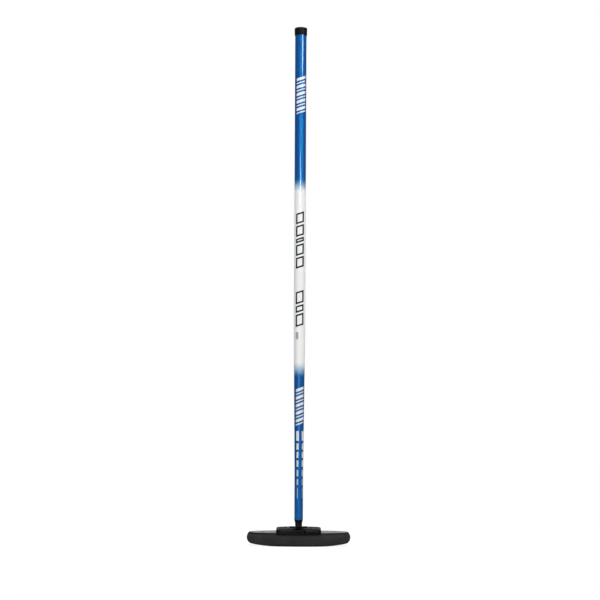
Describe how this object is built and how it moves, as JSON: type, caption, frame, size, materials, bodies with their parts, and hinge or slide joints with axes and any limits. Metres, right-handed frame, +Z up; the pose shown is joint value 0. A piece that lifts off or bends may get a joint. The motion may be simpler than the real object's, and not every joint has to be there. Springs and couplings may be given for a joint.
{
  "type": "curling broom",
  "caption": "Curling broom: a tapered tube handle with an end cap and a neck that tilts on a bolted pivot over a padded, fabric-covered sweeping head.",
  "frame": {"origin": "on the floor under the middle of the sole, where the handle's axis meets it", "axes": "+Z up along the upright handle, X along the head, Y across it, and the side seen first is -Y"},
  "size_m": [0.23, 0.0774, 1.153],
  "materials": {
    "tube_paint": "gloss",
    "cap_rubber": "matte",
    "black_nylon": "satin",
    "white_acetal": "satin",
    "stainless": "satin",
    "black_steel": "satin",
    "brass": "satin",
    "plate_grey": "satin",
    "core_plastic": "matte",
    "foam": "matte",
    "woven_fabric": "matte",
    "binding_tape": "matte"
  },
  "bodies": {
    "head": {"swivel_saddle": "black_nylon", "pivot_bolt": "stainless", "bolt_washer": "stainless", "spring_washer": "stainless", "pivot_nut": "stainless", "nut_ring": "white_acetal", "saddle_screws": "black_steel", "plate_screws": "black_steel", "screw_inserts": "brass", "backing_plate": "plate_grey", "edge_binding": "binding_tape", "core_board": "core_plastic", "foam_block": "foam", "fabric_cover": "woven_fabric"},
    "handle": {"handle_tube": "tube_paint", "end_cap": "cap_rubber", "neck": "black_nylon", "barrel_bush": "white_acetal", "thrust_washers": "black_nylon"}
  },
  "joints": [
    {"name": "head_tilt", "type": "hinge", "parent": "head", "child": "handle", "pos_m": [0, 0, 0.0362], "axis": [1, 0, 0], "range_deg": [-65, 65]}
  ]
}
